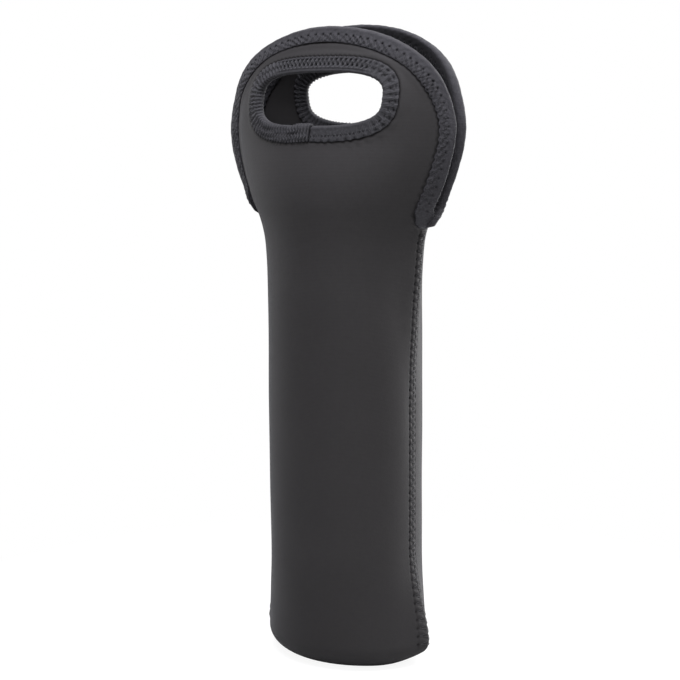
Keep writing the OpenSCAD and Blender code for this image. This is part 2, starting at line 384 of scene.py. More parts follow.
def sweep(name, path, normal, sides=6):
    """A thread along path; normal is a direction across it at each point"""
    tan = np.gradient(path, axis=0)
    tan /= np.linalg.norm(tan, axis=1)[:, None] + 1e-12
    n = normal - (normal * tan).sum(1)[:, None] * tan
    n /= np.linalg.norm(n, axis=1)[:, None] + 1e-12
    b = np.cross(tan, n)
    a = np.linspace(0, TURN, sides, endpoint=False)
    across = np.cos(a)[None, :, None] * n[:, None] + np.sin(a)[None, :, None] * b[:, None]
    ring = path[:, None] + THREAD_R * across
    verts = np.vstack([ring.reshape(-1, 3), path[:1], path[-1:]])
    faces = grid_faces(len(path), sides, closed=True).tolist()
    last = (len(path) - 1) * sides
    for k in range(sides):
        faces.append([(k + 1) % sides, k, len(verts) - 2])
        faces.append([last + k, last + (k + 1) % sides, len(verts) - 1])
    run = run_along(path)
    uv = np.stack([np.repeat(run, sides), np.tile(np.arange(sides) / sides, len(path))], 1)
    uv = np.vstack([uv, [[0, 0], [run[-1], 0]]])
    return face_out(make(name, verts, faces, uv))


# Stitches
SEAM_PITCH = 4.35
EDGE_PITCH, EDGE_ROW = 4.55, 2.8
THREAD_R = 0.14
# Distance of a row of holes from the side seam. Towards the foot the rows part: below what height,
# over what height and by how much
SEAM_ROW = 2.9
SEAM_PARTING = [(64, 36, 1.5), (30, 18, 1.2)]
# Depths of the side seam's relief: the nick between the sheets, a hole, a thread's dent and the padding
NICK, NICK_W = 0.25, 0.3
SEAM_HOLE, SEAM_HOLE_R, ROW_DENT, ROW_W = 0.5, 0.72, 0.05, 0.8
SLANT, SLANT_W, PADDING, LUMP, FINE = 0.18, 0.85, 0.2, 0.1, 0.07
# Painted shade of the side seam: in a hole, along the rows, in the nick, and between the threads
HOLE_SHADE, ROW_SHADE, NICK_SHADE, BETWEEN_SHADE = 0.8, 0.04, 0.1, 0.3


def seam_reach(z):
    return SEAM_ROW + sum(more * smooth((top - z) / over) for top, over, more in SEAM_PARTING)


def holes_at(t, d, pitch, row, start, size):
    """Closeness to the needle holes of a row: 1 in a hole, 0 away from it"""
    along = (np.mod((t - start) / pitch + 0.5, 1) - 0.5) * pitch
    return bell(np.hypot(along, d - row), size)


def there_and_back(phase):
    """0 at whole numbers, 1 half way between them"""
    return 1 - np.abs(2 * np.mod(phase, 1.0) - 1)


def zigzag(t, d, pitch, low, high, start, wide):
    """Closeness to the thread of a zigzag between rows at low and high"""
    line = low + (high - low) * there_and_back((t - start) / pitch)
    slope = 2 * (high - low) / pitch
    return bell((d - line) / np.sqrt(1 + slope * slope), wide) * window(d, low - 0.6, 0.6, high + 0.6, 0.6)


def zigzag_path(length, pitch, start, steps=8):
    """Along and across (0 to 1) of that thread, and how far it is from one hole (0) to the next (1)"""
    n = int((length - 2 * start) / pitch * 2)
    k = np.arange(n * steps + 1) / steps
    return start + k * pitch / 2, there_and_back(k / 2), np.mod(k, 1.0)


def arched(share, low, high):
    """Height of a thread over the cloth: low in its holes, high between them"""
    return low + high * np.sin(np.pi * share) ** 0.6


def shaded(shades, parts):
    """How much painted shade the parts of a relief give together"""
    return sum(shades[key] * value for key, value in parts.items())


def waves(x, z):
    """The sheet's own slow unevenness: heights and wavelengths in mm"""
    return (0.14 * np.sin(x / 13.0 + 1.3) * np.sin(z / 31.0 + 0.4)
            + 0.08 * np.sin(x / 8.1 + z / 19.0) + 0.06 * np.sin(z / 9.0 - x / 21.0 + 2.0))


def seam_relief(u, z, dist):
    """How far the outer face near a side seam lies below the plain one, and its painted shade"""
    side = np.where(u < 0, -1.0, 1.0)
    sewn = window(z, CORNER_RISE + 3, 3, SEAM_H, 2)
    butt = NICK * (1 - np.sqrt(1 - np.clip(1 - dist / NICK_W, 0, 1) ** 2))
    # the stitches wander a little, and those of the left seam lie a little lower
    z = z + np.where(side > 0, 0.0, 0.35) + 0.25 * np.sin(z / 7.3)
    reach = seam_reach(z)
    holes = holes_at(z, dist, SEAM_PITCH, reach, 0.0, SEAM_HOLE_R)
    slant = zigzag(z, -dist, SEAM_PITCH, -reach, reach, SEAM_PITCH / 2, SLANT_W)
    row = bell(dist - reach, ROW_W)
    band = smooth((reach + 0.3 - dist) / 0.9)
    lump = np.cos(TURN * z / SEAM_PITCH - side * 1.1 * dist)
    fine = np.sin(z / 0.61 + dist * 1.7) * np.sin(z / 2.3)
    puff = band * (PADDING + LUMP * lump + FINE * fine)
    strong = 0.75 + 0.25 * np.sin(z / 6.3) * np.sin(z / 15.1 + 1)
    # painted shade between the threads, weaker towards the foot, and below it in the holes, along the rows
    # and in the nick
    between = BETWEEN_SHADE * (1 - 0.7 * smooth((52 - z) / 26)) * (1 - slant) * band * (0.55 - 0.45 * lump)
    sink = butt + sewn * (SEAM_HOLE * holes * strong + ROW_DENT * row - puff - SLANT * slant * band)
    dark = sewn * (HOLE_SHADE * holes * strong + ROW_SHADE * row + NICK_SHADE * bell(dist, 0.45) + between)
    return sink, dark


# One whole sheet
# Distances of the columns near a side seam from it, close together where the stitches are
NEAR_SEAM = np.array([0, 0.1, 0.25, 0.5, 0.85, 1.2, 1.55, 1.9, 2.2, 2.5, 2.8, 3.1, 3.4, 3.75, 4.1, 4.45, 4.8,
                      5.15, 5.5, 5.85, 6.3, 7.0, 8.2, 10.2, 13])
MIDDLE_COLUMNS, WALL_ROWS, HEEL_ROWS, RIM_POINTS = 24, 400, 15, 330
# Shares of the way from the hand hole to a head's edge at which its rings lie
RING_SHARES = np.concatenate([[0, 0.01], np.linspace(0.03, 0.97, 41), [0.99, 1]])
# Height over which the painted shade along the lower edge fades
HEEL_SHADE_H = 4.2
# The padding beside a tape and the pucker at the lower right of the hand hole
BESIDE, BESIDE_AT, BESIDE_W = 0.2, 1.4, 1.3
PUCKER, PUCKER_PITCH, PUCKER_AT, PUCKER_W = 0.14, 4.4, 1.6, 1.8
# Painted shadow on the sheet beside the ends of the tapes' laps, and painted shade on a head's inner face
RIM_PAINTED_SHADOW, HOLE_PAINTED_SHADOW, PAINTED_SHADOW_AT, PAINTED_SHADOW_W = 0.62, 0.75, 0.1, 0.55
INNER_SHADE = 0.28


def sleeve_columns():
    """Distances of the columns from a sheet's middle"""
    right = SEAM_S - NEAR_SEAM
    middle = np.linspace(-right[-1], right[-1], MIDDLE_COLUMNS + 2)[1:-1]
    return np.concatenate([-right, middle, right[::-1]])


def sleeve_skin(cols, side, outer):
    """The outer or inner face of the sleeve in rows from the foot up: points, flat places and painted shade
    """
    us, dist = cols / SEAM_S, SEAM_S - np.abs(cols)
    low, h = rise(us), heel(us)
    rows, uvs, painted_shades = [], [], []
    for a in np.radians(np.linspace(90, 0, HEEL_ROWS)):
        r = h if outer else h - SHEET_T
        z = low + h - r * np.sin(a)
        off = HALF_T - h + r * np.cos(a)
        sink, dark = seam_relief(us, z, dist)
        if outer:
            sink = sink * (0.25 + 0.75 * np.cos(a))
            off = off - sink * np.cos(a)
            z = z + sink * np.sin(a)
        rows.append(sleeve_point(us, z, off, side))
        uvs.append(np.stack([cols, low + h * (1 - a)], 1))
        # painted shade of the seam, and painted shade along the lower edge where the sheet turns under
        painted_shades.append(np.maximum(dark * np.cos(a), 1 - smooth((z - low) / HEEL_SHADE_H)) * outer)
    for k in np.arange(1, WALL_ROWS + 1) / WALL_ROWS:
        z = low + h + (SEAM_H - low - h) * k
        sink, dark = seam_relief(us, z, dist)
        uneven = waves(cols, z) * smooth(dist / 8) * smooth((z - 15) / 20)
        off = HALF_T - sink + uneven if outer else -HALF_T
        rows.append(sleeve_point(us, z, off + 0 * us, side))
        uvs.append(np.stack([cols, z], 1))
        painted_shades.append(dark * outer)
    return [np.array(v) for v in (rows, uvs, painted_shades)]


def head_rings(cols):
    """Flat places of a head's rings, from the hand hole out to the rim and the fold line"""
    rim = RIM.where(np.linspace(0, RIM.length, RIM_POINTS))[0]
    # these places are before the stretch near the fold
    fold = np.stack([cols / FOLD_STRETCH, np.full(len(cols), SEAM_H)], 1)
    edge = np.vstack([fold[-1:], rim[1:-1], fold[:-1]])
    ang = np.arctan2(edge[:, 1] - HOLE_Z, edge[:, 0])
    reach = hole_reach(ang)
    hole = np.stack([reach * np.cos(ang), HOLE_Z + reach * np.sin(ang)], 1)
    return hole[None] + (edge - hole)[None] * RING_SHARES[:, None, None]


def head_skins(flat, side):
    """The outer and inner faces of a head at flat places, and the painted shade of both"""
    rim_d, rim_t = RIM.nearest(flat)
    hole_d, hole_t = HOLE.nearest(flat)
    fs, fz = flat[..., 0], flat[..., 1]
    high = smooth((fz - SEAM_H) / 5)
    keep = np.minimum(smooth(rim_d / TAPE_LAP), smooth(hole_d / GRIP_LAP))
    keep = 1 - (1 - keep) * high
    thick = nipped(keep)
    past_rim, past_grip = rim_d - edge_lap(rim_t), hole_d - grip_lap_at(hole_t)
    beside = BESIDE * (bell(past_rim - BESIDE_AT, BESIDE_W) + bell(past_grip - BESIDE_AT, BESIDE_W))
    d_seam = np.clip(flat_half(fz) - np.abs(fs), 0, None)
    sink, _ = seam_relief(np.sign(fs), np.full_like(fs, SEAM_H), d_seam * FOLD_STRETCH)
    tail = 1 - smooth((fz - SEAM_H) / 6)
    off = thick + beside * high + waves(fs, fz) * smooth(d_seam / 8) * keep - sink * tail
    pucker = bell(past_grip - PUCKER_AT, PUCKER_W) * smooth((fs - 8) / 14) * smooth((HOLE_Z - 4 - fz) / 8)
    off = off + PUCKER * pucker * np.cos(TURN * hole_t / PUCKER_PITCH)
    # painted shadow on the sheet just past the ends of the laps; the inner face gets an even painted shade
    painted_shade = np.maximum(RIM_PAINTED_SHADOW * bell(past_rim - PAINTED_SHADOW_AT, PAINTED_SHADOW_W),
                      HOLE_PAINTED_SHADOW * bell(past_grip - PAINTED_SHADOW_AT, PAINTED_SHADOW_W))
    return (head_point(fs, fz, off, side), head_point(fs, fz, -thick, side), painted_shade * high, INNER_SHADE * high)


def sheet_mesh(name, side):
    """A sheet from the foot to the crown. The head's fold edge shares the sleeve's top row."""
    cols = sleeve_columns()
    n_cols = len(cols)
    out, out_uv, out_shade = sleeve_skin(cols, side, True)
    inn, inn_uv, inn_shade = sleeve_skin(cols, side, False)
    n_row = len(out)
    flat = head_rings(cols)
    n_ring, n_all = flat.shape[:2]
    head_out, head_in, shade_out, shade_in = head_skins(flat, side)

    verts = [v.reshape(-1, 3) for v in (out, inn, head_out, head_in)]
    uv = [v.reshape(-1, 2) for v in (out_uv, inn_uv, flat, flat)]
    # the painted shade of the four skins
    painted_shades = [v.ravel() for v in (out_shade, inn_shade, shade_out, shade_in)]
    start_in = n_row * n_cols
    start_head = 2 * start_in
    layer = n_ring * n_all
    hole_ring = np.append(start_head + np.arange(n_all), start_head)
    last = start_head + (n_ring - 1) * n_all
    foot, rim = np.arange(n_cols), last + np.arange(RIM_POINTS)
    faces = [grid_faces(n_row, n_cols), grid_faces(n_row, n_cols, start_in),
             grid_faces(n_ring, n_all, start_head, closed=True),
             grid_faces(n_ring, n_all, start_head + layer, closed=True),
             strip(foot, start_in + foot), strip(hole_ring, hole_ring + layer), strip(rim, rim + layer)]
    for col in (0, n_cols - 1):
        rows = np.arange(n_row) * n_cols + col
        faces.append(strip(rows, rows + start_in))
    top = (n_row - 1) * n_cols + np.arange(n_cols)
    fold_ids = np.concatenate([[last + RIM_POINTS - 1], last + RIM_POINTS + np.arange(n_cols - 2), [last]])
    number = np.arange(sum(len(v) for v in verts))
    number[fold_ids] = top
    number[fold_ids + layer] = top + start_in
    used, faces = np.unique(number[np.vstack(faces)], return_inverse=True)
    return face_out(make(name, np.vstack(verts)[used], faces.reshape(-1, 4), np.vstack(uv)[used],
                         np.concatenate(painted_shades)[used]))


# Folded tapes
# How far w runs round the fold before it reaches the lap
QUARTER = 2.6
# Space between tape and sheet, by how much a tape is thinner at the end of its lap, and its inner face
TAPE_LAY, THINNER, UNDER_LAY, UNDER_TURN, UNDER_SHORT = 0.3, 0.45, 0.05, 0.3, 0.15


class Tape:
    """A stretch tape folded over a bound edge. t runs along it, w across it from the fold, + outside.
    relief(t, w) gives the height of its face and its painted shade."""

    def __init__(self, edge, side, lap, relief, fold_rise):
        self.edge, self.side, self.lap, self.relief, self.fold_rise = edge, side, lap, relief, fold_rise

    def placed(self, t, inwards, off):
        p, n = self.edge.where(t)
        f = p + n * inwards[..., None]
        return head_point(f[..., 0], f[..., 1], off, self.side)

    def point(self, t, w, lift=0.0):
        lap = self.lap(t)
        a = np.abs(w)
        turn = np.clip(a / QUARTER, 0, 1) * math.pi / 2
        way = np.where(w < 0, -1.0, 1.0)
        share = np.clip((a - QUARTER) / lap, 0, 1)
        raised = self.relief(t, w)[0] + lift
        high = nipped(smooth(share)) + TAPE_LAY + TAPE_T * (1 - THINNER * share)
        round_fold = -(TAPE_FOLD + self.fold_rise(t) + raised) * np.cos(turn)
        inwards = np.where(a < QUARTER, round_fold, share * lap)
        off = np.where(a < QUARTER, (high + raised) * np.sin(turn), high + raised) * way
        return self.placed(t, inwards, off)

    def under(self, t, share_w):
        """The face that lies on the sheet, from one lap's end (-1) round the edge to the other's (1)"""
        way = np.where(share_w < 0, -1.0, 1.0)
        a = np.abs(share_w)
        lap = self.lap(t)
        turn = np.clip(a / UNDER_TURN, 0, 1) * math.pi / 2
        d = np.clip((a - UNDER_TURN) / (1 - UNDER_TURN), 0, 1) * (lap - UNDER_SHORT)
        half = nipped(smooth(d / lap)) + UNDER_LAY
        inwards = np.where(a < UNDER_TURN, -0.6 * np.cos(turn), d)
        off = np.where(a < UNDER_TURN, (nipped(0) + UNDER_LAY) * np.sin(turn), half) * way
        return self.placed(t, inwards, off)

    def mesh(self, name, stations, fold_n, lap_n, under_n=13):
        laps = 1 + np.linspace(1, 0, lap_n + 1)[:-1]
        shares = np.concatenate([laps, np.linspace(1, -1, fold_n), -laps[::-1]])
        t = np.linspace(0, self.edge.length, stations, endpoint=not self.edge.closed)
        at, across = np.meshgrid(t, shares, indexing="ij")
        on_lap = np.sign(across) * (QUARTER + (np.abs(across) - 1) * self.lap(at))
        w = np.where(np.abs(across) <= 1, across * QUARTER, on_lap)
        at_under, across_under = np.meshgrid(t, np.linspace(-1, 1, under_n), indexing="ij")
        around = np.concatenate([self.point(at, w), self.under(at_under, across_under)], axis=1)
        painted_shade = np.concatenate([self.relief(at, w)[1], 0 * at_under], axis=1)
        uv = np.concatenate([np.stack([at, w], -1), np.stack([at_under, across_under * 10], -1)], 1)
        n, m = around.shape[:2]
        rows = n + 1 if self.edge.closed else n
        faces = (grid_faces(rows, m, closed=True) % (n * m)).tolist()
        if not self.edge.closed:
            # an end is capped in quads between its outer and its under face
            over, low = np.arange(len(shares)), np.arange(len(shares), m)[::-1]
            for end in (0, (n - 1) * m):
                for k in range(len(over) - 1):
                    e, f = (int(round(q * (under_n - 1) / (len(over) - 1))) for q in (k, k + 1))
                    face = [end + over[k], end + over[k + 1], end + low[f], end + low[e]]
                    faces.append(face if e != f else face[:3])
        return face_out(make(name, around.reshape(-1, 3), faces, uv.reshape(-1, 2), painted_shade.ravel()))

    def thread(self, name, t, d, share, outside):
        """A thread that dips into its needle holes; d is the distance in from the cut edge"""
        arch = arched(share, -0.3, 0.42)
        w = (1.0 if outside else -1.0) * (QUARTER + d)
        path = self.point(t, w, arch)
        return sweep(name, path, self.point(t, w, arch + 0.5) - path)


# Edge tape
# Shares of its length, from the right end over the crown to the left one, and its lap there
EDGE_LAPS = ([0, 0.03, 0.1, 0.15, 0.19, 0.26, 0.32, 0.48, 0.62, 0.67, 0.71, 0.78, 0.85, 0.97, 1],
             [8.4, 8.4, 7.8, 7.3, 7.6, 8.0, 7.4, 6.9, 7.1, 7.9, 8.7, 8.6, 9.0, 8.4, 8.4])
# Each end is a rounded tongue: its length, how round it is, and its lap at the tip
END_R, END_POWER, END_LAP = 4.6, 2.4, 3.2
# Distance of the second row of holes from the end of the lap
EDGE_IN = 0.95
# How far back along it the stitches of the inside lie
INSIDE_BACK = 1.1
# Heights and depths of its relief
BRAID, LINE, NEAR_HOLE, FAR_HOLE, LIP = 0.44, 0.12, 0.45, 0.3, 0.35
INSIDE_RELIEF, RIGHT_END, LEFT_END = 0.25, {FRONT: 0.5, BACK: 1.0}, 1.6
# Its painted shade: in the near and far holes, in the braid's hollows, on the inside, on the front's crest
# and at the lip of the lap
EDGE_SHADES = {"near": 1.0, "far": 0.62, "braid": 0.34, "inner": 0.5, "crest": 0.4, "lip": 0.75}
# Where the crown's fold is lower, as shares of the length, and by how much
LOW_FOLD_AT, LOW_FOLD_W, LOW_FOLD = 0.66, 0.09, 0.9


def edge_lap(t):
    end = np.minimum(t, RIM.length - t)
    tongue = (1 - np.clip(1 - end / END_R, 0, 1) ** END_POWER) ** (1 / END_POWER)
    x = t / RIM.length
    scallop = 0.06 + 0.22 * smooth((0.34 - x) / 0.1) + 0.12 * smooth((x - 0.62) / 0.1)
    lap = np.interp(x, *EDGE_LAPS) + scallop * np.cos(TURN * (t / EDGE_PITCH + 0.5))
    return END_LAP + (lap - END_LAP) * tongue


def edge_tape(side):
    def relief(t, w):
        x, end = t / RIM.length, np.minimum(t, RIM.length - t)
        d = np.abs(w) - QUARTER
        lap = edge_lap(t)
        inner = lap - EDGE_IN
        inside = np.where(w < 0, INSIDE_RELIEF, 1.0)
        sewn = smooth((end - 7) / 3) * (0.6 + 0.4 * smooth((x - 0.18) / 0.1)) * inside
        # the right end is thick, and the left one just above its end
        left = RIM.length - t
        ends = (-0.35 * (1 - smooth(end / 1.2))
                + RIGHT_END[side] * (1 - smooth((t - 6) / 9)) * smooth(t / 1.2)
                + LEFT_END * smooth((left - 4.8) / 1.6) * (1 - smooth((left - 11) / 11)))
        crest = bell(w, 1.5) * smooth((t - 30) / 30) if side == FRONT else 0.0
        # the stitches wander a little
        t = t + np.where(w < 0, INSIDE_BACK, 0.0) + 0.35 * np.sin(t / 11.0 + 1.0) + 0.12 * np.sin(t / 2.7)
        crest = crest * smooth((0.38 - t / RIM.length) / 0.08)
        zone = window(d, EDGE_ROW - 0.5, 0.8, lap, 0.9)
        near = holes_at(t, d, EDGE_PITCH, EDGE_ROW, 0.0, 0.64)
        far = holes_at(t, d, EDGE_PITCH, inner, EDGE_PITCH / 2, 0.55)
        turn = TURN * t / EDGE_PITCH
        across = d - (EDGE_ROW + inner) / 2
        vary = 0.66 + 0.5 * np.sin(t / 4.1 + 0.7) * np.sin(t / 9.7)
        braid = vary * (0.64 * np.cos(turn + 1.9 * across + 1.1 * np.sin(t / 5.3) + 0.5 * np.sin(t / 1.7))
                        + 0.3 * np.cos(2 * turn - 1.5 * across + 0.9 * np.sin(t / 7.7 + 2)))
        line = zigzag(t, d, EDGE_PITCH, EDGE_ROW, inner, 0.0, 0.55)
        soft = (0.05 * np.sin(t / 6.1 + np.where(w < 0, -0.4, 0.4)) + 0.05 * np.sin(t / 1.9 + d * 1.3)
                + 0.04 * np.sin(t / 0.83 - d * 2.1))
        lip = LIP * smooth((d - (lap - 0.8)) / 0.8)
        tuck = 0.16 * bell(end - 12, 8) * np.sin(t * 2.1 + d * 0.7)
        height = soft - lip + tuck + ends + sewn * (zone * (BRAID * braid + LINE * line)
                                                    - NEAR_HOLE * near - FAR_HOLE * far)
        # painted shade in the holes, in the braid's hollows, on the inside, on the front's crest and at the
        # lip of the lap
        parts = {"near": sewn * near, "far": sewn * far, "braid": sewn * zone * np.clip(0.3 - braid, 0, 1),
                 "inner": smooth(-w / 5.5), "crest": crest, "lip": smooth((d - (lap - 0.35)) / 0.35)}
        return height, shaded(EDGE_SHADES, parts)

    def fold_rise(t):
        return -LOW_FOLD * bell(t / RIM.length - LOW_FOLD_AT, LOW_FOLD_W)

    return Tape(RIM, side, edge_lap, relief, fold_rise)


# Grip tape
# Shares of the way round the hand hole from its right end, over the top, the left end and the bottom,
# with the pitch of the gathers and then with their depth there
GATHER_PITCH = ([0, 0.06, 0.11, 0.36, 0.42, 0.5, 0.6, 0.74, 0.765, 0.9, 0.95, 1.0],
                [3.1, 3.1, 2.6, 2.5, 2.2, 2.0, 1.9, 1.9, 3.2, 3.2, 3.1, 3.1])
GATHER_DEPTH = ([0, 0.07, 0.11, 0.34, 0.4, 0.5, 0.58, 0.62, 0.74, 0.757, 0.765, 0.86, 0.92, 0.96, 1.0],
                [0.2, 0.22, 0.4, 0.56, 0.48, 0.38, 0.42, 0.52, 0.54, 0.44, 0.05, 0.07, 0.14, 0.19, 0.2])
# Shares of that way: the tape's joint, the end of its plain stretch and the flat ribs at the top
JOINT_AT, PLAIN_TO = 0.757, 0.93
TOP_FROM, TOP_TO = 0.085, 0.4
# Distances of its rows of holes, gathered and plain, from the cut edge
GRIP_ROWS = (2.6, 5.4)
PLAIN_ROW, PLAIN_PITCH = 3.9, 2.1
# Heights and depths of its relief
GRIP_HOLE, DOT, LIP_LINE, UNDER_LIP, END_LIP, BEAD = 0.34, 0.26, 0.34, 0.12, 0.3, 0.2
JOINT_DEPTH, JOINT_W, OVERLAP, FOLD_OVERLAP = 0.8, 0.38, 0.35, 0.9
# Its painted shade in the hollows, holes, dots and joint, at the end of the lap, under the lip, at the left
# end and inside; then darker at the lower edge and along the plain stretch
GRIP_SHADES = {"hollow": 0.75, "hole": 0.6, "dot": 0.6, "joint": 0.8, "end": 0.75, "under_lip": 0.22,
               "left": 0.16, "inner": 0.25, "below": 0.14, "plain": 0.1}


def gather_table():
    """Places round the hand hole, the gathers' phase there and their whole number"""
    t = np.linspace(0, HOLE.length, 2001)
    rate = TURN / np.interp(t / HOLE.length, *GATHER_PITCH)
    phase = np.concatenate([[0], np.cumsum((rate[1:] + rate[:-1]) / 2 * np.diff(t))])
    turns = round(phase[-1] / TURN)
    return t, phase * (turns * TURN / phase[-1]), turns


GATHER_T, GATHER_PHASE, GATHERS = gather_table()


def gather_phase(t):
    return np.interp(np.mod(t, HOLE.length), GATHER_T, GATHER_PHASE)


def round_hole(t):
    """The share of the way round the hand hole"""
    return np.mod(t, HOLE.length) / HOLE.length


def plain_stretch(x):
    return window(x, JOINT_AT, 0.006, PLAIN_TO, 0.03)


def grip_lap_at(t):
    x = round_hole(t)
    base = GRIP_LAP - 0.9 * bell(x - 0.47, 0.07) + 0.35 * bell(x - 0.65, 0.05) - 0.45 * bell(x - 0.745, 0.03)
    scallop = 0.06 + 0.45 * np.interp(x, *GATHER_DEPTH) * window(x, 0.1, 0.05, 0.9, 0.05)
    return base + scallop * np.cos(gather_phase(t)) + 0.2 * plain_stretch(x) * np.cos(TURN * t / 4.2)


def grip_tape(side):
    def relief(t, w):
        x = round_hole(t)
        d = np.abs(w) - QUARTER
        lap = grip_lap_at(t)
        depth = np.interp(x, *GATHER_DEPTH)
        outer = np.where(w > 0, 1.0, 0.45)
        # stretches of the way round
        top = window(x, TOP_FROM, 0.03, TOP_TO, 0.04)
        plain = plain_stretch(x)
        corner = np.maximum(smooth((0.12 - x) / 0.04), smooth((x - 0.9) / 0.04))
        low_left = window(x, 0.56, 0.04, JOINT_AT, 0.02)
        # at the top the ribs end on the lap: the fold below them is smooth
        reach = 1 - top * (1 - smooth((d - 1.3) / 0.7))
        phase = (gather_phase(t) + 0.35 * np.sin(t / 3.7) + 0.25 * np.sin(t / 8.9 + 1)
                 + (0.3 + 0.3 * low_left) * np.sin(t / 1.45 + 1.9 * d) * np.sin(t / 12.0))
        vary = 0.82 + (0.22 + 0.25 * low_left) * np.sin(t / 5.3 + 0.6 * d) * np.sin(t / 2.1)
        bend = 1.15 * top * (d - 4) + (0.35 * (1 - top) + 0.8 * low_left) * np.sin(d * 1.7 + t / 4.0)
        ribs = vary * np.cos(phase + bend)
        crossing = 0.6 * top + 0.35 * low_left + 0.5 * bell(x - 0.41, 0.035)
        cross = crossing * np.cos(phase - 1.7 * (d - 4) + 1.0)
        fine = np.sin(2.3 * phase - 0.9 * w)
        gap = np.clip((1 - ribs) / 2, 0, 1)
        rows = sum(bell(d - row, 0.45) for row in GRIP_ROWS)
        holes = rows * gap ** 2 * reach * (1 - plain) * np.maximum(top, corner)
        dots = plain * outer * (holes_at(t, d, PLAIN_PITCH, PLAIN_ROW, 0.0, 0.5)
                                + 0.7 * holes_at(t, d, 2 * PLAIN_PITCH, lap - 0.9, PLAIN_PITCH, 0.6))
        lip_line = top * bell(d - 1.25, 0.45)
        under_lip = top * (bell(d - 0.45, 0.5) + 0.6 * smooth((1.0 - d) / 0.5))
        from_joint = (x - JOINT_AT) * HOLE.length
        joint = bell(from_joint, JOINT_W)
        overlap = smooth((x - JOINT_AT + 0.07) / 0.05) * (from_joint < 0)
        height = (depth * (ribs + cross) * reach * outer * (0.6 + 0.4 * smooth(d / 2))
                  + 0.05 * fine * reach * (1 - 0.7 * plain) + OVERLAP * overlap
                  - END_LIP * smooth((d - (lap - 0.8)) / 0.8) - JOINT_DEPTH * joint
                  - GRIP_HOLE * holes - DOT * dots - 0.12 * plain * bell(d - PLAIN_ROW, 0.8)
                  + LIP_LINE * lip_line * (1 + 0.35 * ribs) - UNDER_LIP * under_lip
                  + BEAD * corner * bell(d - 4.0, 0.5))
        # painted shade, and a plain darkening at the lower edge and along the plain stretch
        parts = {"hollow": (1 / 15 + depth) * gap ** 1.6 * reach * (1 - 0.6 * plain) * outer,
                 "hole": holes * outer, "dot": dots, "joint": joint,
                 "end": smooth((d - (lap - 0.3)) / 0.3), "under_lip": under_lip,
                 "left": bell(x - 0.48, 0.075) * smooth((4.2 - d) / 4.0), "inner": smooth(-w / 4),
                 "below": smooth((x - 0.57) / 0.04), "plain": plain}
        return height, shaded(GRIP_SHADES, parts)

    def fold_rise(t):
        x = round_hole(t)
        from_joint = (x - JOINT_AT) * HOLE.length
        return FOLD_OVERLAP * smooth((x - (JOINT_AT - 0.075)) / 0.03) * smooth(-from_joint / 0.9)

    return Tape(HOLE, side, grip_lap_at, relief, fold_rise)


# Materials
def cleared(owner):
    """The empty node tree of a material or a world"""
    owner.use_nodes = True
    owner.node_tree.nodes.clear()
    return owner.node_tree


def add(nt, kind, inputs=(), out=0, **settings):
    """A new node's output. inputs go from a name or number to a value, or to a socket to link"""
    node = nt.nodes.new(kind)
    for key, value in settings.items():
        setattr(node, key, value)
    for key, value in dict(inputs).items():
        if isinstance(value, bpy.types.NodeSocket):
            nt.links.new(value, node.inputs[key])
        else:
            node.inputs[key].default_value = value
    return node.outputs[out] if node.outputs else None


def maths(nt, operation, *inputs):
    return add(nt, "ShaderNodeMath", enumerate(inputs), operation=operation)


def ranged(nt, socket, low, high, to_low, to_high):
    return add(nt, "ShaderNodeMapRange", enumerate((socket, low, high, to_low, to_high)))


def noise(nt, place, scale, detail, roughness=0.5):
    inputs = {"Vector": place, "Scale": scale, "Detail": detail, "Roughness": roughness}
    return add(nt, "ShaderNodeTexNoise", inputs)


def knit(name, colour, wales, courses, bump, rough, sheen, mottle, coarse):
    """Knitted face: wales and courses from the flat coordinates in mm, darkened by painted shade"""
    mat = bpy.data.materials.new(name)
    nt = cleared(mat)
    flat = add(nt, "ShaderNodeUVMap", uv_map="flat")
    along, up = (add(nt, "ShaderNodeSeparateXYZ", {0: flat}, out=k) for k in (0, 1))
    wale = maths(nt, "SINE", maths(nt, "MULTIPLY", along, wales))
    run = maths(nt, "MULTIPLY", up, courses)
    course = maths(nt, "SINE", maths(nt, "MULTIPLY_ADD", wale, 1.3, run))
    height = maths(nt, "MULTIPLY_ADD", wale, 0.8, course)
    place = add(nt, "ShaderNodeTexCoord", out="Object")
    cloud = noise(nt, place, 30.0, 4.0, 0.6)
    grain = noise(nt, place, coarse, 3.0, 0.7)
    fuzz = noise(nt, place, 1100.0, 2.0)
    painted_shade = add(nt, "ShaderNodeAttribute", out="Fac", attribute_name="painted_shade")

    loops = ranged(nt, height, -1.8, 1.8, 0.82, 1.18)
    clouded = maths(nt, "MULTIPLY", loops, ranged(nt, cloud, 0.3, 0.7, 0.95, 1.05))
    mottled = maths(nt, "MULTIPLY", clouded, ranged(nt, grain, 0.3, 0.7, 1 - mottle, 1 + mottle))
    # painted shade darkens the colour here, and below it also takes away the specular and the sheen
    light = maths(nt, "MULTIPLY", mottled, ranged(nt, painted_shade, 0, 1, 1, 0.12))
    tint = add(nt, "ShaderNodeVectorMath", {0: colour, 3: light}, operation="SCALE")
    uneven = maths(nt, "MULTIPLY_ADD", grain, 6 * mottle, maths(nt, "MULTIPLY_ADD", fuzz, 0.9, height))
    bumped = add(nt, "ShaderNodeBump", {"Height": uneven, "Strength": bump, "Distance": 0.00012})
    bsdf = add(nt, "ShaderNodeBsdfPrincipled", {
        "Base Color": tint, "Normal": bumped, "Sheen Roughness": 0.4, "Sheen Tint": (0.92, 0.92, 0.96, 1),
        "Roughness": ranged(nt, cloud, 0.3, 0.7, rough - 0.04, rough + 0.04),
        "Specular IOR Level": ranged(nt, painted_shade, 0, 1, 0.22, 0.0),
        "Sheen Weight": ranged(nt, painted_shade, 0, 1, sheen, 0.0)})
    add(nt, "ShaderNodeOutputMaterial", {0: bsdf})
    return mat


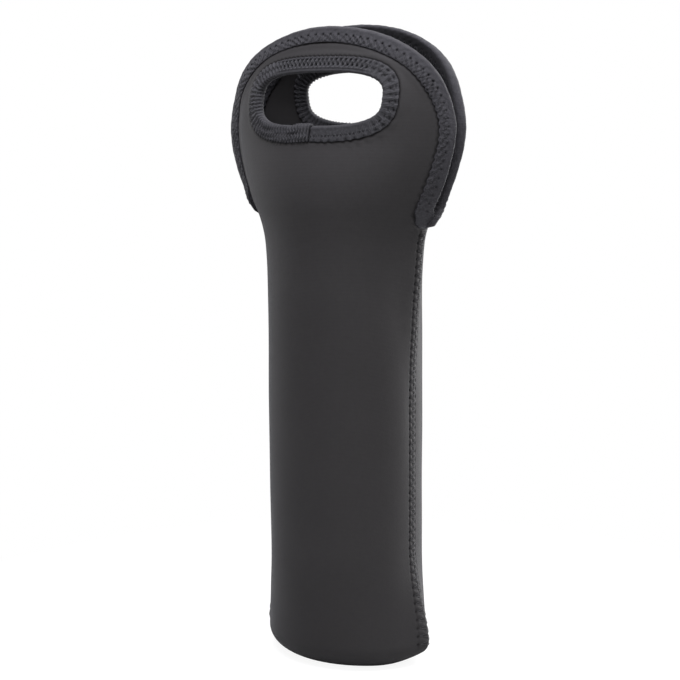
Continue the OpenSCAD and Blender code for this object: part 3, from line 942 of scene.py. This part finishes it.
TAPE_KNIT = dict(wales=8, courses=12, bump=0.4, rough=0.7, sheen=0.12, mottle=0.24, coarse=720)
NEOPRENE = knit("neoprene_knit_face", (0.0287, 0.0269, 0.0277), wales=11, courses=9, bump=0.18,
                rough=0.62, sheen=0.09, mottle=0.04, coarse=420)
TAPE = knit("stretch_tape", (0.042, 0.0408, 0.0462), **TAPE_KNIT)
GRIP_TAPE = knit("gathered_stretch_tape", (0.046, 0.0451, 0.05), **TAPE_KNIT)
THREAD = knit("thread", (0.04, 0.0393, 0.043), wales=22, courses=9, bump=0.3, rough=0.6,
              sheen=0.1, mottle=0.05, coarse=900)


def dress(obj, mat):
    obj.data.materials.clear()
    obj.data.materials.append(mat)
    return obj


# Base and side seams
BASE_EDGE_R, BASE_DRAWN_IN, BASE_DRAWN_W = 0.6, 0.5, 3.0
BASE_SHARES = 1 - np.concatenate([[0, 0.01, 0.025, 0.045], np.linspace(0.07, 0.97, 24)])
SEAM_THREAD_FROM = CORNER_RISE + 5


def base_mesh(name):
    """The foot's own sheet: a lens with rounded edges, whose ends rise, drawn in along its upper edge"""
    u = np.linspace(-1, 1, 120)
    edge = [sleeve_point(u, rise(u), HALF_T - heel(u) - BASE_GAP, side)[:, :2] for side in (FRONT, BACK)]
    floor_x, floor_z = edge[0][:, 0], rise(u)
    outline = np.vstack([edge[0], edge[1][::-1][1:-1]])
    n, mid = len(outline), outline.mean(0)
    size = np.linalg.norm(outline - mid, axis=1).mean()
    rows = []
    for low in (True, False):
        for k in (BASE_SHARES if low else BASE_SHARES[::-1]):
            r = (1 - k) * size
            round_off = BASE_EDGE_R * (1 - math.sqrt(1 - max(1 - r, 0) ** 2))
            drawn = BASE_DRAWN_IN * bell(r, BASE_DRAWN_W)
            flat = mid + (outline - mid) * k
            z = np.interp(flat[:, 0], floor_x, floor_z) + (round_off if low else SHEET_T - round_off - drawn)
            rows.append(np.column_stack([flat, z]))
    count = len(BASE_SHARES)
    verts = np.vstack(rows + [np.array([[*mid, 0.0], [*mid, SHEET_T]])])
    faces = [f for start in (0, count * n) for f in grid_faces(count, n, start, closed=True).tolist()]
    tips = 2 * count * n
    for k in range(n):
        j = (k + 1) % n
        faces.append([(count - 1) * n + k, (count - 1) * n + j, tips])
        faces.append([count * n + k, count * n + j, tips + 1])
        faces.append([k, j, (2 * count - 1) * n + j, (2 * count - 1) * n + k])
    return face_out(make(name, verts, faces, verts[:, :2]))


def seam_thread(name, sign):
    """The flat zigzag over a side seam, from the foot to the fold"""
    z, across, share = zigzag_path(SEAM_H - SEAM_THREAD_FROM - 1, SEAM_PITCH, 0.0)
    z = z + SEAM_THREAD_FROM
    d = (2 * across - 1) * seam_reach(z)
    arch = arched(share, -0.25, 0.4)

    def at(lift):
        u = sign * (SEAM_S - np.abs(d)) / SEAM_S
        off = HALF_T - seam_relief(u, z, np.maximum(np.abs(d), 0.6))[0] + lift
        return np.where((d > 0)[:, None], sleeve_point(u, z, off, FRONT), sleeve_point(u, z, off, BACK))

    return sweep(name, at(arch), at(arch + 0.5) - at(arch))


# Build
# Points along each tape, round its fold and across a lap
EDGE_POINTS, GRIP_POINTS = (1300, 15, 24), (900, 15, 20)


def edge_stitches(outside):
    """Places of an edge tape's thread: along it, in from the cut edge, and between two holes"""
    t, across, share = zigzag_path(RIM.length, EDGE_PITCH, 3 * EDGE_PITCH)
    d = EDGE_ROW + (edge_lap(t) - EDGE_IN - EDGE_ROW) * across
    return t - (0.0 if outside else INSIDE_BACK), d, share


def grip_stitches(outside):
    """The same for a grip tape, on both faces through the valleys between the gathers"""
    k = np.arange(GATHERS * 2 * 8 + 1) / 8
    t = np.interp(np.mod(k / 2 + 0.5, GATHERS) * TURN, GATHER_PHASE, GATHER_T)
    t[-1] = t[0]
    d = GRIP_ROWS[0] + (GRIP_ROWS[1] - GRIP_ROWS[0]) * there_and_back(k / 2)
    return t, d, np.mod(k, 1.0)


def threads(tape, name, stitches):
    """The threads on the outside and on the inside of a tape"""
    both = [tape.thread(name + where, *stitches(where == "outer"), where == "outer")
            for where in ("outer", "inner")]
    return [dress(thread, THREAD) for thread in both]


for side, body in ((FRONT, "front_head"), (BACK, "back_head")):
    panel = dress(sheet_mesh(side + "_sheet", side), NEOPRENE)
    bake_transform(panel)
    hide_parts(side + "_panel", side + "_handle")

    tape = edge_tape(side)
    edge = dress(tape.mesh(side + "_edge_tape", *EDGE_POINTS), TAPE)
    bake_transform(edge)
    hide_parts(side + "_edge_binding")
    edge_threads = threads(tape, side + "_edge_thread_", edge_stitches)
    for thread in edge_threads:
        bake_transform(thread)

    tape = grip_tape(side)
    grip = dress(tape.mesh(side + "_grip_tape", *GRIP_POINTS), GRIP_TAPE)
    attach(grip, body)
    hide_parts(side + "_grip_binding")
    grip_threads = threads(tape, side + "_grip_thread_", grip_stitches)
    for thread in grip_threads:
        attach(thread, body)

base = dress(base_mesh("base_sheet"), NEOPRENE)
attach(base, "sleeve")
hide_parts("base_panel")
for sign, where in ((-1, "left"), (1, "right")):
    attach(dress(seam_thread(where + "_seam_thread", sign), THREAD), "sleeve")


# Studio
WHITE = (1, 1, 1, 1)
# The floor's grey and glow to the camera, and its grey to other rays
FLOOR_GREY, FLOOR_GLOW, BOUNCE_GREY = 0.16, 0.9, 0.42
# Distances from the middle, in m, between which the shadow fades out
FADE_FROM, FADE_TO = 0.12, 0.3
WORLD_FILL = 0.29


def grey(value):
    return (value, value, value, 1)


def by_ray(nt, kind, other, seen):
    """One shader seen by the camera, and another for all other rays"""
    to_camera = add(nt, "ShaderNodeLightPath", out="Is Camera Ray")
    mix = add(nt, "ShaderNodeMixShader", {0: to_camera, 1: other, 2: seen})
    add(nt, kind, {0: mix})


def white_floor():
    """White to the camera, with a faint shadow near the object"""
    mesh = bpy.data.meshes.new("floor")
    mesh.from_pydata([(-6, -6, 0), (6, -6, 0), (6, 6, 0), (-6, 6, 0)], [], [(0, 1, 2, 3)])
    floor = linked("floor", mesh)
    mat = bpy.data.materials.new("floor_white")
    nt = cleared(mat)
    lit = add(nt, "ShaderNodeBsdfDiffuse", {"Color": grey(FLOOR_GREY)})
    glow = add(nt, "ShaderNodeEmission", {"Color": WHITE, "Strength": FLOOR_GLOW})
    near = add(nt, "ShaderNodeAddShader", {0: lit, 1: glow})
    far = add(nt, "ShaderNodeEmission", {"Color": WHITE})
    place = add(nt, "ShaderNodeTexCoord", out="Object")
    away = add(nt, "ShaderNodeVectorMath", {0: place}, out="Value", operation="LENGTH")
    faded = ranged(nt, away, FADE_FROM, FADE_TO, 0, 1)
    seen = add(nt, "ShaderNodeMixShader", {0: faded, 1: near, 2: far})
    real = add(nt, "ShaderNodeBsdfDiffuse", {"Color": grey(BOUNCE_GREY)})
    by_ray(nt, "ShaderNodeOutputMaterial", real, seen)
    mesh.materials.append(mat)


def studio_world(scene):
    """White to the camera, and a weaker even fill to everything else"""
    world = bpy.data.worlds.new("studio")
    scene.world = world
    nt = cleared(world)
    fill = add(nt, "ShaderNodeBackground", {"Color": WHITE, "Strength": WORLD_FILL})
    white = add(nt, "ShaderNodeBackground", {"Color": WHITE})
    by_ray(nt, "ShaderNodeOutputWorld", fill, white)


def box_light(name, azimuth, away, height, aim_z, size, power, colour=(1, 1, 1)):
    """A soft box at an azimuth from the front, in degrees, aimed at the object's axis; m and W"""
    a = math.radians(azimuth)
    data = bpy.data.lights.new(name, "AREA")
    data.shape = "RECTANGLE"
    data.size, data.size_y = size
    data.energy = power
    data.color = colour
    obj = linked(name, data)
    obj.location = (away * math.sin(a), -away * math.cos(a), height)
    aim = Vector((0, 0, aim_z)) - obj.location
    obj.rotation_euler = aim.to_track_quat("-Z", "Y").to_euler()


scene = bpy.context.scene
white_floor()
studio_world(scene)
scene.view_settings.view_transform = "Standard"
box_light("key", azimuth=32, away=1.5, height=0.75, aim_z=0.2, size=(1.0, 1.0), power=4.6)
box_light("over", azimuth=22, away=0.36, height=1.3, aim_z=0.3, size=(0.8, 0.6), power=19,
          colour=(0.93, 0.93, 1.0))
box_light("rim_right", azimuth=156, away=1.0, height=0.32, aim_z=0.18, size=(0.45, 1.0), power=10.2)
box_light("rim_left", azimuth=-88, away=0.9, height=0.2, aim_z=0.13, size=(0.5, 0.8), power=1.8)
box_light("top", azimuth=128, away=0.75, height=1.05, aim_z=0.32, size=(0.7, 0.5), power=8.5)

# Camera, in m, and in pixels of the photo where a name ends in PX
AZ, AWAY, CAM_Z, AIM_Z = math.radians(31.76), 0.8269, 0.2881, 0.1758
FOCAL_PX, SHIFT_PX, ROLL, IMAGE_PX = 1524.7, -5.27, math.radians(-0.35), 680
SENSOR_MM = 36
cam_data = bpy.data.cameras.new("camera")
cam_data.sensor_width = SENSOR_MM
cam_data.sensor_fit = "HORIZONTAL"
cam_data.lens = FOCAL_PX / IMAGE_PX * SENSOR_MM
cam_data.shift_x = SHIFT_PX / IMAGE_PX
cam = linked("camera", cam_data)
cam.location = (AWAY * math.sin(AZ), -AWAY * math.cos(AZ), CAM_Z)
look = Vector((0, 0, AIM_Z)) - Vector(cam.location)
cam.rotation_euler = (look.to_track_quat("-Z", "Y").to_matrix() @ Matrix.Rotation(ROLL, 3, "Z")).to_euler()
scene.camera = cam
